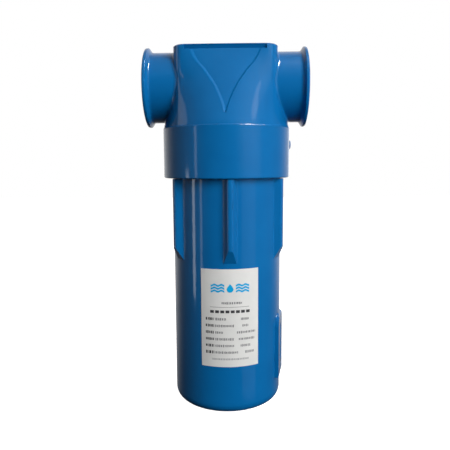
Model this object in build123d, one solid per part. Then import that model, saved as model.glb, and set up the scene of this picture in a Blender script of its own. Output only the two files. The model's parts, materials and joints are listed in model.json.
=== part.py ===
from build123d import *
import os
from math import sin, cos, atan2, hypot, pi, radians, sqrt

os.makedirs("parts", exist_ok=True)

# ---------------------------------------------------------------------------
# Cyclone water separator for a compressed-air main, 2 inch ports.
# Millimetres. +Z up. Origin: centre of the inlet port's mouth. +X runs through
# the ports from inlet to outlet, so the bowl's axis stands at X = HALF_FACE.
# Everything below is drawn about the bowl's axis and moved there on export.
# ---------------------------------------------------------------------------

# ports
FACE_TO_FACE = 175.0
HALF_FACE = FACE_TO_FACE / 2
PORT_R = 28.33            # minor radius of the 2 inch parallel pipe thread
PORT_THREAD = 26.0        # depth of the threaded wall
NECK_R = 38.0
RIM_R = 43.0
RIM_T = 3.6
PASSAGE_R = 25.0

# head, upper part: rounded box at the top, round at the collar
HEAD_TOP = 39.5
HEAD_EDGE = 38.3          # where the small bevel under the top starts
HEAD_BEVEL = 1.1
RELIEF_Z = 34.4           # undercut relief below the top's front and back edges
RELIEF_HALF = 42.8
RELIEF_IN = 36.2          # its foot's distance from the head's middle plane
HEAD_HALF_X = 55.2
HEAD_HALF_Y = 40.0
FLARE_Z = -44.0           # collar top
FLARE_R = 70.0
CREST_R = 12.5            # vertical corner radius at the top

# collar
COLLAR_R = 70.5
COLLAR_BOT = -99.0
COLLAR_EDGE = 1.5         # rounded edges, top and bottom
THREAD_BORE_R = 63.2
SEAL_BORE_R = 60.3
SEAL_Z = -66.0            # seal bore starts above this
CAVITY_Z = -52.0          # bowl rim stops just under this
CHAMBER_TOP = -33.0
CHAMBER_R = 56.0
BOSS_R = 29.0
BOSS_BOT = -50.0
LOCK_Z = -63.0

# panel in the front and back of the head: half widths at heights
PANEL = [(37.6, 36.0), (36.6, 33.0), (31.2, 22.0), (24.8, 14.3), (19.9, 7.5), (15.3, 0.8),
         (10.0, -8.7), (6.0, -18.2), (2.9, -27.0), (0.9, -34.0)]
PANEL_DEPTH = 0.9

# bowl
BOWL_R = 60.5
BOWL_IN = 54.5
NECK_IN = 52.0
NECK_TOP = -54.0
SPIGOT_R = 60.0
MALE_R = 62.9
BOWL_BOT = -353.6
BOWL_EDGE = 11.3
FLOOR_Z = -346.5
RIB_R = 68.0
RIB_AZ = 4.0
RIB_TOP = -99.6
RIB_CROWN_END = -173.0
RIB_FOOT_END = -187.0
O_RING_R = 2.0

# sight pad
PAD_AZ = 80.0
PAD_D = 62.2              # flat face's distance from the axis
PAD_HALF = 18.6
PAD_TOP = -251.6
PAD_BOT = -325.0

# label
LABEL_AZ = (-26.1, 33.7)
LABEL_Z = (-299.3, -193.0)

# inside
TUBE_R = 22.0
TUBE_IN = 19.5
TUBE_BOT = -190.0
ROD_R = 4.0
DRAIN_R = 8.3
TAIL_R = 4.3              # hose tail of the drain
FLOAT_R = 28.0
FLOAT_Z = (-330.0, -300.0)
GUIDE_R = 6.0
FLOAT_TRAVEL = 12.0

NODES = {}


def put(name, shape):
    NODES[name] = shape


def rev(pts):
    """Solid of revolution about Z from (r, z) points."""
    return revolve(Plane.XZ * make_face(Polyline(*[(r, z) for r, z in pts], close=True)), Axis.Z)


def rev_x(pts):
    """Solid of revolution about X from (x, r) points."""
    return revolve(make_face(Polyline(*[(x, r) for x, r in pts], close=True)), Axis.X)


def cyl(r, z0, z1, x=0.0, y=0.0):
    return Pos(x, y, (z0 + z1) / 2) * Cylinder(r, abs(z1 - z0))


def tube(ro, ri, z0, z1):
    return rev([(ri, z0), (ro, z0), (ro, z1), (ri, z1)])


def interp(t, ts, vs):
    for i in range(1, len(ts)):
        if t <= ts[i]:
            k = (t - ts[i - 1]) / (ts[i] - ts[i - 1])
            return vs[i - 1] + k * (vs[i] - vs[i - 1])
    return vs[-1]


def spread(a, b, n):
    return [a + (b - a) * i / (n - 1) for i in range(n)]


# ------------------------------------------------------------------ the head
# Each level of the upper casting is four shallow arcs joined by corner arcs.
# The arcs' curvature grows from almost flat at the crown to the collar's circle.
LEVELS = [0.0, 0.138, 0.3, 0.413, 0.55, 0.69, 0.85, 1.0]
FRONT_K = [0.02, 0.22, 0.46, 0.64, 0.78, 0.88, 0.96, 1.0]
SIDE_X = [HEAD_HALF_X, HEAD_HALF_X, HEAD_HALF_X, 55.6, 57.8, 61.4, 65.8, FLARE_R]
SIDE_K = [0.02, 0.04, 0.08, 0.16, 0.38, 0.64, 0.86, 1.0]
CORNER = [CREST_R, CREST_R, 12.8, 13.5, 18, 28, 46, FLARE_R]


def level(z, nf=7, nc=9, ns=6):
    """A quarter of the head's outline at height z, from the front centre to the side."""
    t = (HEAD_TOP - z) / (HEAD_TOP - FLARE_Z)
    yf = HEAD_HALF_Y + (FLARE_R - HEAD_HALF_Y) * t
    if t > 0.999:
        angles = spread(0, 40, nf) + spread(40, 62, nc)[1:] + spread(62, 90, ns)[1:]
        return [(FLARE_R * sin(radians(a)), -FLARE_R * cos(radians(a))) for a in angles]
    rf = FLARE_R / interp(t, LEVELS, FRONT_K)
    xs = interp(t, LEVELS, SIDE_X)
    rs = FLARE_R / interp(t, LEVELS, SIDE_K)
    rho = interp(t, LEVELS, CORNER)
    cf, cs = (0.0, rf - yf), (-(rs - xs), 0.0)
    r1, r2 = rf - rho, rs - rho
    d = hypot(cf[0] - cs[0], cf[1] - cs[1])
    a = (r1 * r1 - r2 * r2 + d * d) / (2 * d)
    h = sqrt(max(r1 * r1 - a * a, 0))
    ux, uy = (cs[0] - cf[0]) / d, (cs[1] - cf[1]) / d
    p = (cf[0] + a * ux, cf[1] + a * uy)
    c = max([(p[0] - uy * h, p[1] + ux * h), (p[0] + uy * h, p[1] - ux * h)], key=lambda q: q[0] - q[1])
    a1 = atan2(c[0] - cf[0], -(c[1] - cf[1]))
    a2 = atan2(c[0] - cs[0], -(c[1] - cs[1]))
    pts = [(cf[0] + rf * sin(v), cf[1] - rf * cos(v)) for v in spread(0, a1, nf)]
    pts += [(c[0] + rho * sin(v), c[1] - rho * cos(v)) for v in spread(a1, a2, nc)[1:]]
    pts += [(cs[0] + rs * sin(v), cs[1] - rs * cos(v)) for v in spread(a2, pi / 2, ns)[1:]]
    return pts


def outline(z, inset=0.0, at=None):
    q = level(z)
    kx, ky = 1 - inset / q[-1][0], 1 - inset / -q[0][1]
    q = [(x * kx, y * ky) for x, y in q]
    back = [(x, -y) for x, y in q]
    # once round, starting at the side, where the seam is hidden inside a neck
    ring = back[::-1] + [(-x, y) for x, y in back[1:]] + [(-x, y) for x, y in q[-2::-1]] + q[1:-1]
    zz = z if at is None else at
    return make_face(Spline([(x, y, zz) for x, y in ring], periodic=True))


flare = loft([outline(z) for z in (HEAD_EDGE, 34, 28, 20, 12, 5, -3, -11, -19, -27, -35, FLARE_Z - 2.0)])
crown = loft([outline(HEAD_EDGE), outline(HEAD_EDGE, HEAD_BEVEL, HEAD_TOP)], ruled=True)

# the shallow panels, bounded by a curved V, on the front and the back
tip, side = PANEL[-1], PANEL
border = Wire([Line((-side[0][0], side[0][1]), side[0]), Spline(side), Line(tip, (-tip[0], tip[1])),
               Spline([(-x, z) for x, z in side[::-1]])])
prism = extrude(Plane.XZ * make_face(border), 90)          # towards -Y
veil = prism - Pos(0, PANEL_DEPTH, 0) * flare
veil_back = mirror(prism, Plane.XZ) - Pos(0, -PANEL_DEPTH, 0) * flare
flare = flare - veil - veil_back

er = COLLAR_EDGE
diag = er * (1 - sqrt(0.5))
collar_edge = Line((30, FLARE_Z), (COLLAR_R - er, FLARE_Z)) \
    + ThreePointArc((COLLAR_R - er, FLARE_Z), (COLLAR_R - diag, FLARE_Z - diag), (COLLAR_R, FLARE_Z - er)) \
    + Line((COLLAR_R, FLARE_Z - er), (COLLAR_R, COLLAR_BOT + er)) \
    + ThreePointArc((COLLAR_R, COLLAR_BOT + er), (COLLAR_R - diag, COLLAR_BOT + diag), (COLLAR_R - er, COLLAR_BOT)) \
    + Line((COLLAR_R - er, COLLAR_BOT), (30, COLLAR_BOT)) + Line((30, COLLAR_BOT), (30, FLARE_Z))
collar = revolve(Plane.XZ * make_face(collar_edge), Axis.Z)

x1 = HALF_FACE
neck = rev_x([(-x1 + 6.3, 0), (-x1 + 6.3, NECK_R), (x1 - 6.3, NECK_R), (x1 - 6.3, 0)])
rim = rev_x([(x1, 0), (x1, RIM_R - 1.5), (x1 - 0.45, RIM_R - 0.45), (x1 - 1.5, RIM_R), (x1 - RIM_T + 0.6, RIM_R),
             (x1 - RIM_T, RIM_R - 0.5), (x1 - 6.4, NECK_R + 0.4), (x1 - 7.6, NECK_R - 0.4), (x1 - 9, 10), (x1 - 9, 0)])
# undercut relief: a wedge out of the front and back, open towards the panels
wedge_cut = Plane.YZ * make_face(Polyline((-60, RELIEF_Z), (-RELIEF_IN, RELIEF_Z), (-HEAD_HALF_Y, HEAD_TOP),
                                          (-HEAD_HALF_Y, HEAD_TOP + 3), (-60, HEAD_TOP + 3), close=True))
wedge_cut = extrude(wedge_cut, RELIEF_HALF, both=True)
solid = flare + crown + neck + rim + mirror(rim, Plane.YZ) + collar
solid = solid - wedge_cut - mirror(wedge_cut, Plane.XZ)

# passages: inlet from the left drops into the ring chamber, the outlet rises from the centre
bore = rev_x([(x1 + 1, 0), (x1 + 1, PORT_R), (x1 - PORT_THREAD, PORT_R), (x1 - PORT_THREAD - 3, PASSAGE_R),
              (24, PASSAGE_R), (16, PASSAGE_R - 1.5), (0, 22), (0, 0)])
inlet = rev_x([(-x1 - 1, 0), (-x1 - 1, PORT_R), (-x1 + PORT_THREAD, PORT_R), (-x1 + PORT_THREAD + 3, PASSAGE_R),
               (-36, PASSAGE_R), (-31.5, PASSAGE_R - 4), (-30, PASSAGE_R - 9), (-30, 0)])
riser = Pos(0, 0, 0) * Sphere(22) + cyl(19.5, -40, 0)
spigot_bore = cyl(TUBE_R + 0.05, BOSS_BOT - 1, -35)
ring_groove = tube(24.6, 21.5, -44.6, -41.4)
chamber = rev([(BOSS_R, CAVITY_Z), (BOSS_R, CHAMBER_TOP - 2), (BOSS_R + 2, CHAMBER_TOP), (CHAMBER_R - 6, CHAMBER_TOP),
               (CHAMBER_R, CHAMBER_TOP - 6), (CHAMBER_R, CAVITY_Z)])
drop = Pos(-42.5, 0, -25) * extrude(RectangleRounded(22, 42, 9), 24, both=True)
below = rev([(0, COLLAR_BOT - 1), (THREAD_BORE_R + 1.6, COLLAR_BOT - 1), (THREAD_BORE_R + 1.6, COLLAR_BOT),
             (THREAD_BORE_R, COLLAR_BOT + 1.6), (THREAD_BORE_R, SEAL_Z - 1), (SEAL_BORE_R, SEAL_Z + 1),
             (SEAL_BORE_R, CAVITY_Z), (CHAMBER_R, CAVITY_Z + 0.01), (BOSS_R, CAVITY_Z + 0.01), (BOSS_R, BOSS_BOT),
             (0, BOSS_BOT)])
rod_hole = cyl(ROD_R + 0.03, 0, 33.5)
lock_hole = Pos(68.2, 0, LOCK_Z) * (Rot(0, 90, 0) * Cylinder(3.0, 6.0))
solid = solid - bore - inlet - riser - spigot_bore - ring_groove - chamber - drop - below - rod_hole - lock_hole
put("head", solid)

# domed screw in the collar, on the outlet side
screw = Rot(0, 90, 0) * rev([(0, 65.6), (2.95, 65.6), (2.95, 70.6), (5.0, 70.6), (5.0, 71.1), (4.5, 71.5), (3.4, 71.9),
                             (1.6, 71.9), (1.6, 70.8), (0, 70.8)])
put("lock_screw", Pos(0, 0, LOCK_Z) * screw)

# ------------------------------------------------------------------ the bowl
arc = [(BOWL_R - BOWL_EDGE + BOWL_EDGE * cos(radians(a)), BOWL_BOT + BOWL_EDGE - BOWL_EDGE * sin(radians(a)))
       for a in range(0, 91, 9)]
inner = [(BOWL_IN - 7 + 7 * cos(radians(a)), FLOOR_Z + 1.8 + 7 - 7 * sin(radians(a))) for a in range(90, -1, -15)]
profile = [(NECK_IN, NECK_TOP), (SPIGOT_R - 1, NECK_TOP), (SPIGOT_R, NECK_TOP - 1), (SPIGOT_R, -57.2), (56.6, -57.2),
           (56.6, -61.8), (SPIGOT_R, -61.8), (SPIGOT_R, SEAL_Z), (MALE_R - 1.6, SEAL_Z - 1.6), (MALE_R, SEAL_Z - 3.2),
           (MALE_R, -96.0), (BOWL_R, -98.4)] + arc + [(DRAIN_R + 0.06, BOWL_BOT), (DRAIN_R + 0.06, FLOOR_Z),
           (18, FLOOR_Z)] + inner + [(BOWL_IN, -106), (NECK_IN, -101)]
bowl = rev(profile)

# six drafted ribs with rounded crowns, their lower ends cut back on a slope
star = Circle(BOWL_R)
rib = make_face(Polyline((56, -9.3), (RIB_R + 0.1, -2.5), (RIB_R + 0.1, 2.5), (56, 9.3), close=True))
rib = fillet(rib.vertices().sort_by(Axis.X)[-2:], 3.0)
for k in range(6):
    star = star + Rot(0, 0, RIB_AZ - 90 + 60 * k) * rib
roots = [v for v in star.vertices() if abs(hypot(v.X, v.Y) - BOWL_R) < 0.05]
star = fillet(roots, 2.2)
ribs = extrude(Pos(0, 0, RIB_FOOT_END) * (star - Circle(58.0)), RIB_TOP - RIB_FOOT_END)
slope = extrude(Plane.XZ * make_face(Polyline((BOWL_R + 0.1, RIB_FOOT_END - 1), (BOWL_R + 0.1, RIB_FOOT_END),
                                              (RIB_R + 0.2, RIB_CROWN_END), (RIB_R + 6, RIB_CROWN_END),
                                              (RIB_R + 6, RIB_FOOT_END - 1), close=True)), 12, both=True)
for k in range(6):
    ribs = ribs - Rot(0, 0, RIB_AZ - 90 + 60 * k) * slope
bowl = (bowl - tube(BOWL_R + 4, 58.0, RIB_FOOT_END, RIB_TOP)) + ribs

# oblong pad for the level glass, low on the right
a = radians(PAD_AZ)
pad_plane = Plane(origin=(0, 0, 0), x_dir=(cos(a), sin(a), 0), z_dir=(sin(a), -cos(a), 0))
pad_mid = (PAD_TOP + PAD_BOT) / 2


def on_pad(sketch, d0, d1, z=0.0):
    """Extrude a sketch drawn on the pad's face between two distances from the axis."""
    return extrude(Plane(origin=tuple(pad_plane.z_dir * d0), x_dir=pad_plane.x_dir, z_dir=pad_plane.z_dir)
                   * (Pos(0, z) * sketch), d1 - d0)


pad_shape = Pos(0, PAD_BOT + (PAD_TOP - 14 - PAD_BOT) / 2) * Rectangle(2 * PAD_HALF, PAD_TOP - 14 - PAD_BOT) \
    + Pos(0, PAD_TOP - 16) * RectangleRounded(2 * PAD_HALF, 32, 15.9)
pad = on_pad(pad_shape, 55.5, PAD_D)
# the pad's top end slopes back to the bowl
brow_cut = make_face(Polyline((PAD_D - 2.3, PAD_TOP + 1), (PAD_D - 1.9, PAD_TOP - 0.6), (PAD_D - 0.9, PAD_TOP - 2.4),
                              (PAD_D + 0.1, PAD_TOP - 5.0), (PAD_D + 4, PAD_TOP - 5.0), (PAD_D + 4, PAD_TOP + 1), close=True))
pad = pad - extrude(Plane(origin=(0, 0, 0), x_dir=pad_plane.z_dir, z_dir=pad_plane.x_dir * -1) * brow_cut, 25, both=True)
bowl = bowl + (pad - cyl(BOWL_IN + 0.4, -345, -245))
pocket = on_pad(RectangleRounded(25.0, 61.0, 5), PAD_D - 2.0, PAD_D + 5, pad_mid)
well = on_pad(RectangleRounded(18.2, 50.2, 9), PAD_D - 5.2, PAD_D, pad_mid)
window = on_pad(RectangleRounded(12, 44, 5.9), 45, PAD_D, pad_mid)
bowl = bowl - pocket - well - window
taps = [(-9.0, -26.6), (9.0, -26.6), (-9.0, 26.6), (9.0, 26.6)]
for x, z in taps:
    bowl = bowl - on_pad(Pos(x, z) * Circle(1.3), PAD_D - 5.4, PAD_D, pad_mid)
put("bowl", bowl)

put("sight_gasket", on_pad(RectangleRounded(18, 50, 8.9) - RectangleRounded(12.4, 44.4, 6.1), PAD_D - 5.2, PAD_D - 4.2, pad_mid))
put("sight_lens", on_pad(RectangleRounded(18, 50, 8.9), PAD_D - 4.2, PAD_D - 2.0, pad_mid)
    + on_pad(RectangleRounded(11.4, 43.4, 5.6), PAD_D - 2.0, PAD_D - 0.9, pad_mid))
bezel = on_pad(RectangleRounded(24.7, 60.7, 4.9) - RectangleRounded(11.8, 43.8, 5.8), PAD_D - 1.95, PAD_D - 0.15, pad_mid)
heads = []
for x, z in taps:
    bezel = bezel - on_pad(Pos(x, z) * Circle(1.6), PAD_D - 3, PAD_D, pad_mid)
    bezel = bezel - on_pad(Pos(x, z) * Circle(2.75), PAD_D - 1.0, PAD_D, pad_mid)
    s = on_pad(Pos(x, z) * Circle(1.27), PAD_D - 5.2, PAD_D - 1.0, pad_mid) \
        + on_pad(Pos(x, z) * Circle(2.65), PAD_D - 1.0, PAD_D - 0.2, pad_mid)
    s = s - on_pad(Pos(x, z) * Rectangle(4.6, 0.7), PAD_D - 0.6, PAD_D, pad_mid)
    heads.append(s.solid())
put("sight_bezel", bezel)
put("bezel_screws", Compound(children=heads))

# rating plate, a thin sheet round the bowl
wedge = make_face(Polyline((0, 0), (90 * sin(radians(LABEL_AZ[0])), -90 * cos(radians(LABEL_AZ[0]))),
                           (90 * sin(radians(LABEL_AZ[1])), -90 * cos(radians(LABEL_AZ[1]))), close=True))
sheet = (wedge & Circle(BOWL_R + 0.3)) - Circle(BOWL_R + 0.02)
put("label", extrude(Pos(0, 0, LABEL_Z[0]) * sheet, LABEL_Z[1] - LABEL_Z[0]))

# bowl seal in its groove
put("bowl_o_ring", Pos(0, 0, -59.5) * Torus(58.25, 1.6))

# ------------------------------------------------------- cyclone and its rod
flange = rev([(TUBE_IN, BOSS_BOT - 0.1), (27.4, BOSS_BOT - 0.1), (27.4, -53.6), (TUBE_R, -53.6), (TUBE_R, -84.2),
              (TUBE_R - 1.0, -84.2), (TUBE_R - 1.0, -85.4), (TUBE_R, -85.4), (TUBE_R, TUBE_BOT), (TUBE_IN, TUBE_BOT)])
spigot = tube(TUBE_R, TUBE_IN, -52, -36)
put("outlet_tube", flange + spigot)
put("tube_o_ring", Pos(0, 0, -43) * Torus(23.32, 1.26))
clip = tube(25.5, TUBE_R - 0.95, -85.3, -84.3) - Pos(25, 0, -84.8) * Box(12, 7, 4)
put("tube_circlip", clip)

hub = tube(26.5, TUBE_R + 0.05, -84.1, -53.9)
shroud = tube(51.2, 49.6, -80, -58)
vanes = []
for k in range(12):
    blade = make_face(Polyline((-7.4, -79), (-5.6, -79), (-2.2, -69), (3.6, -61.2), (7.8, -58.5), (7.8, -59.9),
                               (5.0, -62.0), (-0.6, -69.4), (-4.0, -79), close=True))
    blade = extrude(Plane(origin=(25.8, 0, 0), x_dir=(0, 1, 0), z_dir=(1, 0, 0)) * blade, 24.6)
    vanes.append(Rot(0, 0, 30 * k) * blade)
ring = hub + shroud
for v in vanes:
    ring = ring + v
put("swirl_vanes", ring)

put("tie_rod", rev([(0, -262), (ROD_R - 0.8, -262), (ROD_R, -261.2), (ROD_R, 32.4), (ROD_R - 0.8, 33.2), (0, 33.2)]))
spider = tube(24.4, TUBE_R + 0.1, -196, -186) + tube(24.4, TUBE_IN - 1.5, -196, TUBE_BOT - 0.1) \
    + tube(8, ROD_R + 0.05, -196, TUBE_BOT - 0.1)
for k in range(3):
    arm = Pos(13.2, 0, (-196 + TUBE_BOT - 0.1) / 2) * Box(12.4, 3.2, 196 + TUBE_BOT - 0.1)
    spider = spider + Rot(0, 0, 120 * k + 30) * arm
put("tube_spider", spider)


def nut(af, z0, z1, hole):
    return extrude(Pos(0, 0, z0) * (RegularPolygon(af / 2, 6, major_radius=False) - Circle(hole)), z1 - z0) \
        & rev([(0, z0), (af / 2 - 0.2, z0), (af / 2 * 1.16, z0 + 0.9), (af / 2 * 1.16, z1 - 0.9), (af / 2 - 0.2, z1), (0, z1)])


put("spider_nut", nut(13, -202.7, -196.2, ROD_R + 0.03))
put("baffle", rev([(ROD_R + 0.05, -248), (14, -248), (45.5, -263.5), (46, -262.2), (46, -261.2), (14.5, -246),
                   (ROD_R + 0.05, -246)]))
put("baffle_washers", Compound(children=[tube(8, ROD_R + 0.1, -245.9, -244.4).solid(), tube(8, ROD_R + 0.1, -249.6, -248.1).solid()]))
put("baffle_nuts", Compound(children=[nut(13, -244.3, -237.8, ROD_R + 0.03).solid(), nut(13, -256.2, -249.7, ROD_R + 0.03).solid()]))

# -------------------------------------------------------------- float drain
body = rev([(5.0, -361.8), (7.4, -361.8), (DRAIN_R, -361.0), (DRAIN_R, FLOOR_Z + 0.1), (10.4, FLOOR_Z + 0.1),
            (10.4, FLOOR_Z + 2.1), (13.6, FLOOR_Z + 2.1), (13.6, FLOOR_Z + 0.1), (16, FLOOR_Z + 0.1), (16, -342.4),
            (12, -341.6), (9.2, -341.6), (9.2, -334.4), (GUIDE_R + 0.05, -334.4), (GUIDE_R + 0.05, -340), (5.0, -340)])
for k in range(4):
    body = body - Rot(0, 0, 90 * k + 45) * (Pos(8, 0, -338.2) * (Rot(0, 90, 0) * Cylinder(1.1, 6)))
put("drain_body", body)
put("drain_o_ring", Pos(0, 0, FLOOR_Z + 1.04) * Torus(12.0, 0.98))
put("drain_nut", nut(22, -359.8, BOWL_BOT - 0.1, DRAIN_R + 0.03))
put("float_guide", rev([(4.0, -339.9), (GUIDE_R, -339.9), (GUIDE_R, -283.0), (4.0, -283.0)]))
put("guide_cap", rev([(0, -282.9), (3.9, -282.9), (3.9, -288.0), (0, -288.0)])
    + rev([(0, -282.9), (8.6, -282.9), (8.6, -281.0), (7.6, -280.2), (0, -280.2)]))
fl = rev([(GUIDE_R + 0.4, FLOAT_Z[0]), (FLOAT_R - 4, FLOAT_Z[0]), (FLOAT_R - 1.2, FLOAT_Z[0] + 1.2), (FLOAT_R, FLOAT_Z[0] + 4),
          (FLOAT_R, FLOAT_Z[1] - 4), (FLOAT_R - 1.2, FLOAT_Z[1] - 1.2), (FLOAT_R - 4, FLOAT_Z[1]), (GUIDE_R + 0.4, FLOAT_Z[1])])
put("drain_float", fl)
put("float_seal", tube(9.0, GUIDE_R + 0.4, -334.0, FLOAT_Z[0] - 0.02))
mesh = tube(32.8, 31.8, -342.3, -277.5) + tube(32.8, 3.0, -278.5, -277.5) + tube(34.5, 16.2, -343.4, -342.4) \
    + tube(34.5, 31.8, -342.4, -341.6)
cuts = None
for k in range(12):
    slot = Rot(0, 0, 30 * k) * (Pos(32.3, 0, -310) * Box(6, 6.4, 52))
    cuts = slot if cuts is None else cuts + slot
mesh = mesh - cuts
put("strainer", mesh)
stem = rev([(2.6, -372.3), (TAIL_R - 0.4, -372.3), (TAIL_R, -371.8), (TAIL_R, -366.9), (4.5, -366.9), (4.5, -361.9), (4.95, -361.9), (4.95, -346.0), (2.6, -346.0)])
put("drain_stem", stem)
grip = rev([(4.55, -361.95), (10.2, -361.95), (10.8, -362.6), (10.8, -366.0), (10.2, -366.6),
            (4.55, -366.6)])
for k in range(18):
    grip = grip - Rot(0, 0, 20 * k) * (Pos(11.5, 0, -364.2) * Cylinder(1.15, 8))
put("drain_knob", grip)

# --------------------------------------------------------------------- write
for name, shape in NODES.items():
    moved = Pos(HALF_FACE, 0, 0) * shape
    solids = moved.solids()
    out = solids[0] if len(solids) == 1 else Compound(children=list(solids))
    export_step(out, f"parts/{name}.step")
    print(name, len(solids), round(sum(s.volume for s in solids), 1))
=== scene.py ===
import bpy
import bmesh
import json
import math
from mathutils import Vector, Matrix, Quaternion
from mathutils.bvhtree import BVHTree


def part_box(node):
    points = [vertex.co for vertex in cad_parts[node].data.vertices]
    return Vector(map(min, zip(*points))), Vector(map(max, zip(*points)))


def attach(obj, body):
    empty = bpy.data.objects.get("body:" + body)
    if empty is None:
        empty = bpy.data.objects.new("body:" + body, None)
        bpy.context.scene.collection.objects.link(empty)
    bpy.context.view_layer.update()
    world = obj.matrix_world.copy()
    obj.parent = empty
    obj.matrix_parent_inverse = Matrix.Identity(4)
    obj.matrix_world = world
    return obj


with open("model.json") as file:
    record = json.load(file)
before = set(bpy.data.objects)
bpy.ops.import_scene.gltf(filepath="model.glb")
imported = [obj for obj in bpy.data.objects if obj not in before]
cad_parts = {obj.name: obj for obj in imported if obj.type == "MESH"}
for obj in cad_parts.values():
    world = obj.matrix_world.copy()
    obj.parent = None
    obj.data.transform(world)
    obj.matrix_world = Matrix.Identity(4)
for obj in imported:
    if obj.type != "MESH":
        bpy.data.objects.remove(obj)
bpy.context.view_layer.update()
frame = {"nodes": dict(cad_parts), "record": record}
nodes = frame["nodes"]

# the bowl's axis, and the pieces' measures, in metres
lo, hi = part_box("bowl_o_ring")
AX = (lo.x + hi.x) / 2
MM = 0.001
lo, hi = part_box("label")
LABEL_Z0, LABEL_Z1 = lo.z, hi.z
LABEL_R = 60.8 * MM
BOWL_R = 60.5 * MM
FLOOR_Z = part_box("drain_stem")[0].z - 0.0186     # clear of the drain at the end of the bowl's travel

scene = bpy.context.scene
scene.view_settings.view_transform = "Standard"
scene.view_settings.look = "None"


# ------------------------------------------------------------------ camera
def camera():
    f_px, pitch, roll, yaw = 509.77, 6.944, 0.363, -1.378
    pos = Vector((AX + 0.011686, -0.582544, -0.08279))
    a, p, r = math.radians(yaw), math.radians(pitch), math.radians(roll)
    fwd = Vector((math.sin(a) * math.cos(p), math.cos(a) * math.cos(p), -math.sin(p)))
    right = Vector((math.cos(a), -math.sin(a), 0))
    up = Vector((math.sin(a) * math.sin(p), math.cos(a) * math.sin(p), math.cos(p)))
    r2 = right * math.cos(r) - up * math.sin(r)
    u2 = right * math.sin(r) + up * math.cos(r)
    cam = bpy.data.cameras.new("camera")
    cam.sensor_width = 36.0
    cam.lens = f_px / 450.0 * 36.0
    cam.clip_start = 0.01
    cam.dof.use_dof = False
    o = bpy.data.objects.new("camera", cam)
    scene.collection.objects.link(o)
    m = Matrix.Identity(4)
    for i in range(3):
        m[i][0], m[i][1], m[i][2], m[i][3] = r2[i], u2[i], -fwd[i], pos[i]
    o.matrix_world = m
    scene.camera = o


camera()


# --------------------------------------------------------------- materials
class Tree:
    """A material's node tree, with short calls to add and join nodes."""

    def __init__(self, name):
        self.mat = bpy.data.materials.new(name)
        self.mat.use_nodes = True
        self.nt = self.mat.node_tree
        self.nt.nodes.clear()
        self.out = self.nt.nodes.new("ShaderNodeOutputMaterial")
        self.bsdf = self.nt.nodes.new("ShaderNodeBsdfPrincipled")
        self.join(self.bsdf, "BSDF", self.out, "Surface")
        self.coord = self.nt.nodes.new("ShaderNodeTexCoord")

    def join(self, a, ao, b, bi):
        self.nt.links.new(a.outputs[ao], b.inputs[bi])

    def set(self, **values):
        for k, v in values.items():
            self.bsdf.inputs[k.replace("_", " ")].default_value = v

    def noise(self, scale, detail=3.0, rough=0.55, stretch=None):
        n = self.nt.nodes.new("ShaderNodeTexNoise")
        n.inputs["Scale"].default_value = scale
        n.inputs["Detail"].default_value = detail
        n.inputs["Roughness"].default_value = rough
        if stretch:
            m = self.nt.nodes.new("ShaderNodeMapping")
            m.inputs["Scale"].default_value = stretch
            self.join(self.coord, "Object", m, "Vector")
            self.join(m, "Vector", n, "Vector")
        else:
            self.join(self.coord, "Object", n, "Vector")
        return n

    def voronoi(self, scale, feature="F1"):
        n = self.nt.nodes.new("ShaderNodeTexVoronoi")
        n.feature = feature
        n.inputs["Scale"].default_value = scale
        self.join(self.coord, "Object", n, "Vector")
        return n

    def ramp(self, src, out, stops):
        r = self.nt.nodes.new("ShaderNodeValToRGB")
        e = r.color_ramp.elements
        while len(e) > 1:
            e.remove(e[-1])
        e[0].position, e[0].color = stops[0][0], self.rgba(stops[0][1])
        for p, c in stops[1:]:
            s = e.new(p)
            s.color = self.rgba(c)
        self.join(src, out, r, "Fac")
        return r

    @staticmethod
    def rgba(c):
        return (c, c, c, 1) if isinstance(c, (int, float)) else (*c[:3], 1)

    def bump(self, src, out, strength, distance, normal=None):
        b = self.nt.nodes.new("ShaderNodeBump")
        b.inputs["Strength"].default_value = strength
        b.inputs["Distance"].default_value = distance
        self.join(src, out, b, "Height")
        if normal:
            self.join(normal, "Normal", b, "Normal")
        return b


def enamel(name="blue_enamel", deep=(0.0018, 0.122, 0.352), light=(0.0026, 0.137, 0.384), coat=0.8, coat_rough=0.085):
    """Glossy blue stoving enamel over sand-cast aluminium: a soft cast texture under a fine orange peel."""
    t = Tree(name)
    drift = t.noise(22, 2)
    col = t.ramp(drift, "Fac", [(0.3, deep), (0.7, light)])
    t.join(col, "Color", t.bsdf, "Base Color")
    fine = t.noise(330, 2, 0.45)
    rough = t.ramp(fine, "Fac", [(0.25, 0.30), (0.75, 0.40)])
    t.join(rough, "Color", t.bsdf, "Roughness")
    cast = t.noise(70, 2, 0.5)
    b1 = t.bump(cast, "Fac", 0.10, 0.0009)
    b2 = t.bump(fine, "Fac", 0.045, 0.00025, b1)
    t.join(b2, "Normal", t.bsdf, "Normal")
    t.join(b2, "Normal", t.bsdf, "Coat Normal")
    t.set(IOR=1.5, Coat_Weight=coat, Coat_Roughness=coat_rough, Coat_IOR=1.5, Specular_IOR_Level=0.12,
          Specular_Tint=(0.25, 0.6, 1.0, 1.0))
    return t.mat


def metal(name, dark, light, rough=(0.25, 0.42), grain=None, bump=0.15, scale=260):
    t = Tree(name)
    n = t.noise(scale, 4, 0.6, grain)
    c = t.ramp(n, "Fac", [(0.25, dark), (0.75, light)])
    t.join(c, "Color", t.bsdf, "Base Color")
    r = t.ramp(n, "Fac", [(0.2, rough[0]), (0.8, rough[1])])
    t.join(r, "Color", t.bsdf, "Roughness")
    b = t.bump(n, "Fac", bump, 0.0002)
    t.join(b, "Normal", t.bsdf, "Normal")
    t.set(Metallic=1.0)
    return t.mat


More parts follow.
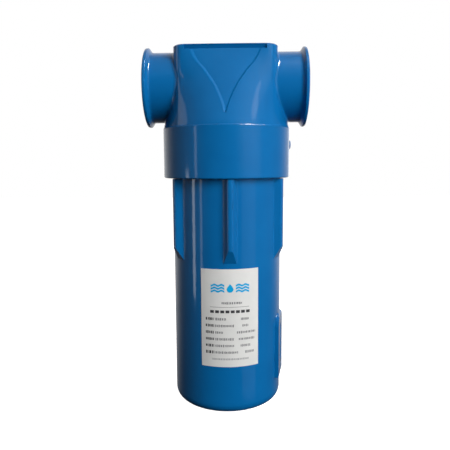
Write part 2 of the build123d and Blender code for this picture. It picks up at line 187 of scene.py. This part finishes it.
def plastic(name, dark, light, rough=(0.35, 0.5), scale=500, bump=0.2, spec=0.5):
    t = Tree(name)
    n = t.noise(scale, 3, 0.6)
    c = t.ramp(n, "Fac", [(0.3, dark), (0.7, light)])
    t.join(c, "Color", t.bsdf, "Base Color")
    r = t.ramp(n, "Fac", [(0.2, rough[0]), (0.8, rough[1])])
    t.join(r, "Color", t.bsdf, "Roughness")
    b = t.bump(n, "Fac", bump, 0.0001)
    t.join(b, "Normal", t.bsdf, "Normal")
    t.set(Specular_IOR_Level=spec)
    return t.mat


def film(name, tone_a, tone_b, rough=(0.3, 0.42)):
    t = Tree(name)
    n = t.noise(60, 3)
    f = t.noise(1500, 2)
    c = t.ramp(n, "Fac", [(0.3, tone_a), (0.7, tone_b)])
    t.join(c, "Color", t.bsdf, "Base Color")
    r = t.ramp(f, "Fac", [(0.2, rough[0]), (0.8, rough[1])])
    t.join(r, "Color", t.bsdf, "Roughness")
    b = t.bump(f, "Fac", 0.05, 0.00004)
    t.join(b, "Normal", t.bsdf, "Normal")
    t.set(Specular_IOR_Level=0.45)
    return t.mat


def clear(name):
    t = Tree(name)
    n = t.noise(300, 2)
    c = t.ramp(n, "Fac", [(0.3, (0.80, 0.88, 0.90)), (0.7, (0.86, 0.92, 0.93))])
    t.join(c, "Color", t.bsdf, "Base Color")
    r = t.ramp(n, "Fac", [(0.2, 0.03), (0.8, 0.09)])
    t.join(r, "Color", t.bsdf, "Roughness")
    t.set(Transmission_Weight=0.9, IOR=1.49)
    return t.mat


MATS = {
    "enamel": enamel(),
    "bare_aluminium": metal("bare_aluminium", (0.52, 0.53, 0.55), (0.68, 0.69, 0.70), (0.3, 0.5), None, 0.25, 320),
    "zinc_steel": metal("zinc_steel", (0.44, 0.44, 0.40), (0.62, 0.62, 0.58), (0.25, 0.4), None, 0.1, 700),
    "stainless": metal("stainless_steel", (0.5, 0.5, 0.5), (0.66, 0.66, 0.65), (0.2, 0.34), (1, 1, 14), 0.12, 200),
    "brass": metal("turned_brass", (0.50, 0.34, 0.13), (0.72, 0.52, 0.22), (0.18, 0.34), (1, 1, 30), 0.15, 160),
    "black_rubber": plastic("black_rubber", (0.008, 0.008, 0.008), (0.02, 0.02, 0.02), (0.5, 0.7), 700, 0.25, 0.3),
    "label_film": film("label_film", (0.68, 0.68, 0.665), (0.73, 0.73, 0.715)),
    "sight_clear": clear("sight_clear"),
    "black_plastic": plastic("black_plastic", (0.01, 0.01, 0.011), (0.022, 0.022, 0.024), (0.3, 0.45), 900, 0.3),
    "float_foam": plastic("float_foam", (0.62, 0.60, 0.52), (0.75, 0.73, 0.66), (0.6, 0.8), 900, 0.6, 0.2),
}
for part in frame["record"]["subparts"]:
    o = nodes[part["node"]]
    o.data.materials.clear()
    o.data.materials.append(MATS[part["material_slot"]])

# ------------------------------------------------------------------- label
inks = {
    "grey": plastic("ink_grey", (0.16, 0.16, 0.17), (0.24, 0.24, 0.25), (0.4, 0.5), 1500, 0.02),
    "soft": plastic("ink_soft_grey", (0.34, 0.34, 0.35), (0.42, 0.42, 0.43), (0.4, 0.5), 1500, 0.02),
    "dark": plastic("ink_dark", (0.03, 0.03, 0.035), (0.06, 0.06, 0.065), (0.4, 0.5), 1500, 0.02),
    "cyan": plastic("ink_cyan", (0.0, 0.33, 0.66), (0.0, 0.38, 0.72), (0.35, 0.45), 1500, 0.02),
}


def wrapped(name, shapes, radius, lift, ink):
    """Thin printed patches on the bowl's round. Each shape is a ring of (arc length, height) points in mm
    from the label's centre line, the arc counted towards +X."""
    bm = bmesh.new()
    for ring in shapes:
        xs = [p[0] for p in ring]
        w = max(xs) - min(xs)
        # patches wider than a few mm are cut into strips that follow the round
        n = max(1, int(w / 2.0))
        if len(ring) == 4 and n > 1:
            x0, x1 = min(xs), max(xs)
            z0, z1 = min(p[1] for p in ring), max(p[1] for p in ring)
            rings = [[(x0 + (x1 - x0) * i / n, z0), (x0 + (x1 - x0) * (i + 1) / n, z0),
                      (x0 + (x1 - x0) * (i + 1) / n, z1), (x0 + (x1 - x0) * i / n, z1)] for i in range(n)]
        else:
            rings = [ring]
        for q in rings:
            vs = []
            for s, z in q:
                a = LABEL_MID + s * MM / radius
                vs.append(bm.verts.new((AX + (radius + lift) * math.sin(a), -(radius + lift) * math.cos(a), z * MM)))
            bm.faces.new(vs)
    bmesh.ops.remove_doubles(bm, verts=bm.verts, dist=1e-6)
    bmesh.ops.recalc_face_normals(bm, faces=bm.faces)
    me = bpy.data.meshes.new(name)
    # faces point outwards
    for f in bm.faces:
        c = f.calc_center_median()
        if f.normal.dot(Vector((c.x - AX, c.y, 0))) < 0:
            f.normal_flip()
    bm.to_mesh(me)
    bm.free()
    o = bpy.data.objects.new(name, me)
    scene.collection.objects.link(o)
    me.materials.append(inks[ink])
    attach(o, "bowl")
    return o


LABEL_MID = math.radians(3.8)


def rect(x0, x1, z0, z1):
    return [(x0, z0), (x1, z0), (x1, z1), (x0, z1)]


def words(x0, x1, z, h, seed, fill=0.72, chop=2.2):
    """Greeked text: a row of small blocks that reads as small print without being letters."""
    out, x, k = [], x0, seed
    while x < x1 - 0.5:
        k = (k * 1103515245 + 12345) % 2147483648
        w = chop * (0.45 + 0.75 * ((k >> 8) % 1000) / 1000)
        w = min(w, x1 - x)
        hh = h * (0.72 + 0.28 * ((k >> 4) % 100) / 100)
        out.append(rect(x, x + w * fill, z - hh / 2, z + hh / 2))
        x += w
    return out


def disc(cx, cz, r, n=28, a0=0.0):
    return [(cx + r * math.cos(a0 + 2 * math.pi * i / n), cz + r * math.sin(a0 + 2 * math.pi * i / n)) for i in range(n)]


def artwork():
    top = LABEL_Z1 / MM
    grey, soft, dark, cyan = [], [], [], []
    # emblem: a drop between bands of waves, in cyan
    zc = top - 20.2
    drop = []
    for i in range(48):
        a = 2 * math.pi * i / 48
        x, z = 3.7 * math.cos(a), 3.7 * math.sin(a)
        if z > 0:
            x *= (1 - z / 3.7) ** 0.55
            z *= 1.5
        drop.append((x, zc - 1.0 + z))
    cyan.append(drop)
    for side in (-1, 1):
        for row in (-1, 0, 1):
            n = 24
            for i in range(n):
                xa, xb = 6.0 + 14.6 * i / n, 6.0 + 14.6 * (i + 1) / n
                za = zc + row * 3.1 + 0.7 * math.sin(xa * 0.86)
                zb = zc + row * 3.1 + 0.7 * math.sin(xb * 0.86)
                th = 1.05
                q = [(side * xa, za - th), (side * xb, zb - th), (side * xb, zb + th), (side * xa, za + th)]
                cyan.append(q if side > 0 else q[::-1])
    # small heading and rule
    grey += words(-9.0, 13.0, top - 36.3, 2.6, 7, 0.66, 2.3)
    grey.append(rect(-21.5, 20.5, top - 40.9, top - 40.45))
    # title: eight bold blocks
    for i in range(8):
        x, z = -21.4 + i * 5.5, top - 45.6
        dark.append(rect(x, x + 4.1, z - 1.5, z + 1.5))
    # six rows in two columns
    for i, (xa, xb, xc, xd) in enumerate([(-26.5, -4, 11.5, 20.5), (-26.5, 4.5, 13, 20), (-26.5, -7.5, 7, 28),
                                          (-26.5, 4.0, 9, 27), (-26.5, 4.5, 11, 22.5), (-26.5, 9.0, 16, 26.5)]):
        z = top - 53.6 - i * 7.3
        dark += words(xa, xa + 9.6, z, 3.3, 11 + i, 0.66, 2.5)
        grey += words(xa + 10.6, xb, z - 0.1, 2.9, 51 + i, 0.62, 1.9)
        grey += words(xc, xd, z - 0.1, 2.9, 71 + i, 0.64, 1.9)
    soft += words(-19.5, 20.5, top - 97.6, 2.3, 97, 0.68, 1.9)
    wrapped("label_emblem", cyan, BOWL_R, 0.345 * MM, "cyan")
    wrapped("label_small_print", grey, BOWL_R, 0.345 * MM, "grey")
    wrapped("label_fine_print", soft, BOWL_R, 0.345 * MM, "soft")
    wrapped("label_title", dark, BOWL_R, 0.345 * MM, "dark")


artwork()


# ----------------------------------------------------------------- threads
def helix(name, axis_at, along, radius, pitch, turns, depth, crest, start, body, mat, inward=True, steps=96):
    """A V-shaped thread ridge. along is the axis (x or z); start is the first turn's place on it."""
    n = int(turns * steps)
    prof = [(-pitch * 0.5 * (1 - crest), 0.0), (-pitch * 0.5 * crest * 0.5, 1.0), (pitch * 0.5 * crest * 0.5, 1.0),
            (pitch * 0.5 * (1 - crest), 0.0)]
    verts, faces = [], []
    for i in range(n + 1):
        a = 2 * math.pi * i / steps
        c = start + pitch * i / steps
        fade = min(1.0, i / (steps * 0.35), (n - i) / (steps * 0.35))
        for dx, h in prof:
            r = radius - depth * h * fade if inward else radius + depth * h * fade
            base = 0.0003 * (1 - h)
            r += base if inward else -base
            if along == "x":
                verts.append((c + dx, axis_at[1] + r * math.cos(a), axis_at[2] + r * math.sin(a)))
            else:
                verts.append((axis_at[0] + r * math.cos(a), axis_at[1] + r * math.sin(a), c + dx))
    m = len(prof)
    for i in range(n):
        for j in range(m - 1):
            faces.append((i * m + j, i * m + j + 1, (i + 1) * m + j + 1, (i + 1) * m + j))
        faces.append((i * m + m - 1, i * m, (i + 1) * m, (i + 1) * m + m - 1))
    faces.append(tuple(range(m)))
    faces.append(tuple(n * m + j for j in range(m - 1, -1, -1)))
    me = bpy.data.meshes.new(name)
    me.from_pydata(verts, [], faces)
    bm = bmesh.new()
    bm.from_mesh(me)
    bmesh.ops.recalc_face_normals(bm, faces=bm.faces)
    bm.to_mesh(me)
    bm.free()
    o = bpy.data.objects.new(name, me)
    scene.collection.objects.link(o)
    me.materials.append(mat)
    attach(o, body)
    return o


P_G = 2.309 * MM
for k, (sign, x) in enumerate(((1, 0.0022), (-1, 0.175 - 0.0022))):
    start = x if sign > 0 else x - P_G * 9.6
    helix(("inlet", "outlet")[k] + "_port_thread", (0, 0, 0), "x", 28.33 * MM, P_G, 9.6, 0.75 * MM, 0.32, start,
          "head", MATS["bare_aluminium"])
helix("bowl_male_thread", (AX, 0, 0), "z", 62.55 * MM, 6.0 * MM, 3.9, 0.55 * MM, 0.42, -93.5 * MM, "bowl",
      MATS["enamel"], inward=False)

# ------------------------------------- soft edges of the painted casting
def piece(name, verts, faces, body, mat, smooth=True):
    me = bpy.data.meshes.new(name)
    me.from_pydata([tuple(v) for v in verts], [], faces)
    bm = bmesh.new()
    bm.from_mesh(me)
    bmesh.ops.remove_doubles(bm, verts=bm.verts, dist=1e-7)
    bmesh.ops.recalc_face_normals(bm, faces=bm.faces)
    if smooth:
        for f in bm.faces:
            f.smooth = True
        for e in bm.edges:
            if len(e.link_faces) == 2 and e.calc_face_angle(0) > math.radians(50):
                e.smooth = False
    bm.to_mesh(me)
    bm.free()
    o = bpy.data.objects.new(name, me)
    scene.collection.objects.link(o)
    me.materials.append(mat)
    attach(o, body)
    return o


def ring(name, profile, body, mat, slot="enamel", steps=240):
    """A closed ring about the bowl's axis from (r, z) points in mm."""
    m = len(profile)
    verts, faces = [], []
    for i in range(steps):
        a = 2 * math.pi * i / steps
        verts += [(AX + r * MM * math.sin(a), -r * MM * math.cos(a), z * MM) for r, z in profile]
    for i in range(steps):
        j = (i + 1) % steps
        for k in range(m):
            n = (k + 1) % m
            faces.append((i * m + k, i * m + n, j * m + n, j * m + k))
    return piece(name, verts, faces, body, mat)


def quarter(r0, z0, rad, a0, a1, n=7):
    return [(r0 + rad * math.cos(math.radians(a0 + (a1 - a0) * i / (n - 1))),
             z0 + rad * math.sin(math.radians(a0 + (a1 - a0) * i / (n - 1)))) for i in range(n)]


head_mesh = nodes["head"].data
bvh = BVHTree.FromPolygons([v.co.copy() for v in head_mesh.vertices], [tuple(p.vertices) for p in head_mesh.polygons])


def cast(origin, direction):
    hit = bvh.ray_cast(Vector(origin), Vector(direction))
    return hit[0]


def neck_blend(name, side):
    """Concave blend where a round neck meets the head's flank."""
    n, seg, rn = 144, 6, 38.0 * MM
    rows = []
    for i in range(n):
        a = 2 * math.pi * i / n
        c, s_ = math.cos(a), math.sin(a)
        rho = 2.6 * MM
        if s_ > 0.3:
            rho = max(0.12 * MM, min(rho, 38.15 * MM / s_ - rn))

        def x_at(r):
            h = cast((AX + side * 80.6 * MM, r * c, r * s_), (-side, 0, 0))
            return None if h is None else (h.x - AX) * side
        x0, x1 = x_at(rn + 0.15 * MM), x_at(rn + rho)
        if x0 is None or x1 is None or x0 < 0.04 or x1 < 0.04:
            x0 = x1 = 55.2 * MM
        reach = rho * (1.0 if x0 >= x1 else 1.0) + max(0.0, x0 - x1) * 0.15
        A, C, B = (x0 + reach, rn - 0.02 * MM), (x0, rn), (x1 - 0.03 * MM, rn + rho)
        row = []
        for k in range(seg + 1):
            t = k / seg
            x = (1 - t) ** 2 * A[0] + 2 * t * (1 - t) * C[0] + t * t * B[0]
            r = (1 - t) ** 2 * A[1] + 2 * t * (1 - t) * C[1] + t * t * B[1]
            row.append((x, r))
        row += [(x0 - 1.2 * MM, rn + rho * 0.4), (x0 - 0.6 * MM, rn - 0.9 * MM)]
        rows.append([(AX + side * x, r * c, r * s_) for x, r in row])
    m = len(rows[0])
    verts = [p for row in rows for p in row]
    faces = []
    for i in range(n):
        j = (i + 1) % n
        for k in range(m):
            q = (k + 1) % m
            faces.append((i * m + k, i * m + q, j * m + q, j * m + k))
    return piece(name, verts, faces, "head", MATS["enamel"])


neck_blend("inlet_neck_blend", -1)
neck_blend("outlet_neck_blend", 1)


def panel_walls():
    """The sloped, rounded walls along the V of the front and back panels."""
    guide = [(37.6, 36.0), (36.6, 33.0), (31.2, 22.0), (24.8, 14.3), (19.9, 7.5), (15.3, 0.8), (10.0, -8.7), (6.0, -18.2),
             (2.9, -27.0), (0.9, -34.0)]

    def near(z):
        for (xa, za), (xb, zb) in zip(guide, guide[1:]):
            if zb <= z <= za:
                return xa + (xb - xa) * (za - z) / (za - zb)
        return guide[-1][0]

    for face, tag in ((-1, "front"), (1, "back")):
        for side, hand in ((-1, "left"), (1, "right")):
            def depth(x, z):
                h = cast((AX + x * MM, face * 0.2, z * MM), (0, -face, 0))
                return None if h is None else h.y * -face / MM       # rises inwards

            rows = []
            z = 33.9
            while z > -32.6:
                x0 = near(z)
                best, at = 0.0, None
                x = x0 - 1.8
                last = depth(side * x, z)
                while x < x0 + 1.8:
                    x += 0.06
                    now = depth(side * x, z)
                    if last is not None and now is not None and last - now > best:
                        best, at = last - now, x - 0.03
                    last = now
                if at is not None and best > 0.45:
                    o1, o2 = depth(side * (at + 0.35), z), depth(side * (at + 1.35), z)
                    wall = min(WALL[side], max(0.9, at + 0.4))
                    i1 = depth(side * (at - wall), z)
                    if None not in (o1, o2, i1):
                        slope = (o2 - o1)
                        row = []
                        for k in range(9):
                            t = k / 8
                            x = at + 0.45 - (wall + 0.45) * t
                            outer = o1 + slope * (x - at - 0.35)
                            inner = i1
                            w = t * t * (3 - 2 * t)
                            d = outer + (inner - outer) * w if x > at - wall else inner
                            row.append((x, d - 0.02))
                        deep = row[-1][1] + 0.8
                        row += [(row[-1][0], deep), (row[0][0], deep)]
                        rows.append([(AX + side * x * MM, -face * d * MM, z * MM) for x, d in row])
                z -= 1.1
            if len(rows) < 10:
                continue
            m = len(rows[0])
            verts = [p for r in rows for p in r]
            faces = []
            for i in range(len(rows) - 1):
                for k in range(m):
                    q = (k + 1) % m
                    faces.append((i * m + k, i * m + q, (i + 1) * m + q, (i + 1) * m + k))
            faces.append(tuple(range(m)))
            faces.append(tuple((len(rows) - 1) * m + k for k in range(m - 1, -1, -1)))
            piece("panel_wall_%s_%s" % (tag, hand), verts, faces, "head", SATIN)


WALL = {-1: 3.6, 1: 1.8}
SATIN = enamel("blue_enamel_thin", coat=0.02, coat_rough=0.4)
panel_walls()


def port_ring(name, side, profile, steps=160):
    """A closed ring about the ports' axis from (distance from the bowl's axis, r) points in mm."""
    m = len(profile)
    verts, faces = [], []
    for i in range(steps):
        a = 2 * math.pi * i / steps
        verts += [(AX + side * x * MM, r * MM * math.cos(a), r * MM * math.sin(a)) for x, r in profile]
    for i in range(steps):
        j = (i + 1) % steps
        for k in range(m):
            q = (k + 1) % m
            faces.append((i * m + k, i * m + q, j * m + q, j * m + k))
    return piece(name, verts, faces, "head", MATS["enamel"])


for side, tag in ((-1, "inlet"), (1, "outlet")):
    # rounded inner edge of the rim, and the soft root where the rim leaves the neck
    port_ring(tag + "_rim_round", side, quarter(84.60, 42.11, 0.85, 84, 200, 8) + [(84.6, 41.2), (86.0, 41.6)])
    port_ring(tag + "_rim_root", side, [(78.4, 38.01), (79.6, 38.06), (80.6, 38.28), (81.3, 38.75), (81.9, 39.45),
                                        (82.5, 40.4), (83.4, 39.6), (83.0, 37.0), (79.0, 37.0)])

# ------------------------------------------------------- studio
KEY = 9.2


def studio():
    w = bpy.data.worlds.new("studio")
    scene.world = w
    w.use_nodes = True
    nt = w.node_tree
    nt.nodes.clear()
    out = nt.nodes.new("ShaderNodeOutputWorld")
    mix = nt.nodes.new("ShaderNodeMixShader")
    path = nt.nodes.new("ShaderNodeLightPath")
    seen = nt.nodes.new("ShaderNodeBackground")
    seen.inputs["Color"].default_value = (1, 1, 1, 1)
    seen.inputs["Strength"].default_value = 1.0
    lit = nt.nodes.new("ShaderNodeBackground")
    coord = nt.nodes.new("ShaderNodeTexCoord")
    sep = nt.nodes.new("ShaderNodeSeparateXYZ")
    nt.links.new(coord.outputs["Generated"], sep.inputs[0])

    def ramp(src, stops):
        r = nt.nodes.new("ShaderNodeMapRange")
        r.interpolation_type = "SMOOTHSTEP"
        r.inputs["From Min"].default_value, r.inputs["From Max"].default_value = stops[0], stops[1]
        r.inputs["To Min"].default_value, r.inputs["To Max"].default_value = stops[2], stops[3]
        nt.links.new(src, r.inputs["Value"])
        return r.outputs["Result"]

    def math2(op, a, b):
        m = nt.nodes.new("ShaderNodeMath")
        m.operation = op
        for i, v in enumerate((a, b)):
            if isinstance(v, (int, float)):
                m.inputs[i].default_value = v
            else:
                nt.links.new(v, m.inputs[i])
        return m.outputs[0]

    # bright behind the object, dim in front, a little light from the sides and above, dark below
    back = ramp(sep.outputs["Y"], (0.25, 0.95, 0.0, 0.75))
    up = ramp(sep.outputs["Z"], (0.30, 0.95, 0.0, 0.24))
    left = ramp(sep.outputs["X"], (-0.55, -0.95, 0.0, 0.14))
    right = ramp(sep.outputs["X"], (0.55, 0.98, 0.0, 0.10))
    low = ramp(sep.outputs["Z"], (-0.55, -0.05, 0.12, 1.0))
    total = math2("ADD", math2("ADD", back, up), math2("ADD", left, right))
    total = math2("MULTIPLY", math2("ADD", total, 0.035), low)
    nt.links.new(total, lit.inputs["Strength"])
    lit.inputs["Color"].default_value = (1, 1, 1, 1)
    nt.links.new(path.outputs["Is Camera Ray"], mix.inputs[0])
    nt.links.new(lit.outputs[0], mix.inputs[1])
    nt.links.new(seen.outputs[0], mix.inputs[2])
    nt.links.new(mix.outputs[0], out.inputs[0])

    centre = Vector((AX, 0, -0.16))

    def softbox(name, az, el, dist, w_, h_, glow, diffuse=True, glossy=True, lift=0.0, lean=0.0):
        """A rectangular light aimed at the object. glow is its radiance."""
        a, e = math.radians(az), math.radians(el)
        at = centre + dist * Vector((math.sin(a) * math.cos(e), -math.cos(a) * math.cos(e), math.sin(e)))
        light = bpy.data.lights.new(name, "AREA")
        light.shape = "RECTANGLE"
        light.size, light.size_y = w_, h_
        light.energy = glow * math.pi * w_ * h_
        o = bpy.data.objects.new(name, light)
        scene.collection.objects.link(o)
        o.rotation_euler = ((centre - at).to_track_quat("-Z", "Y") @ Quaternion((0, 0, 1), math.radians(lean))).to_euler()
        o.location = at + Vector((0, 0, lift))
        o.visible_diffuse = diffuse
        o.visible_glossy = glossy
        return o

    softbox("key", 38, 22, 1.5, 0.9, 1.1, KEY, glossy=False)
    softbox("window_right", 47, 2, 1.6, 0.9, 2.0, 0.26, diffuse=False)
    softbox("strip_low", -72, 0, 1.6, 0.19, 0.52, 3.4, diffuse=False, lift=-0.22)
    softbox("strip_tall", -54, 0, 1.6, 0.13, 1.42, 1.5, diffuse=False, lift=0.0)
    softbox("lamp_corner", 54, 46, 1.4, 0.22, 0.5, 1.6, diffuse=False)
    softbox("lamp_above", 66, 62, 1.2, 0.24, 0.45, 62, diffuse=False)
    softbox("lamp_edge", 160, 8, 1.5, 0.4, 0.9, 0.9, diffuse=False)
    softbox("lamp_left", -85, 24, 1.5, 0.5, 0.35, 0.9, diffuse=False)

    me = bpy.data.meshes.new("floor")
    s = 4.0
    me.from_pydata([(AX - s, -s, FLOOR_Z), (AX + s, -s, FLOOR_Z), (AX + s, s, FLOOR_Z), (AX - s, s, FLOOR_Z)], [], [(0, 1, 2, 3)])
    floor = bpy.data.objects.new("floor", me)
    scene.collection.objects.link(floor)
    t = Tree("pale_floor")
    n = t.noise(3, 2)
    c = t.ramp(n, "Fac", [(0.3, 0.80), (0.7, 0.82)])
    t.join(c, "Color", t.bsdf, "Base Color")
    t.set(Roughness=0.9, Specular_IOR_Level=0.0, Emission_Color=(1, 1, 1, 1), Emission_Strength=0.93)
    me.materials.append(t.mat)
    floor.visible_glossy = False
    floor.visible_diffuse = False


studio()
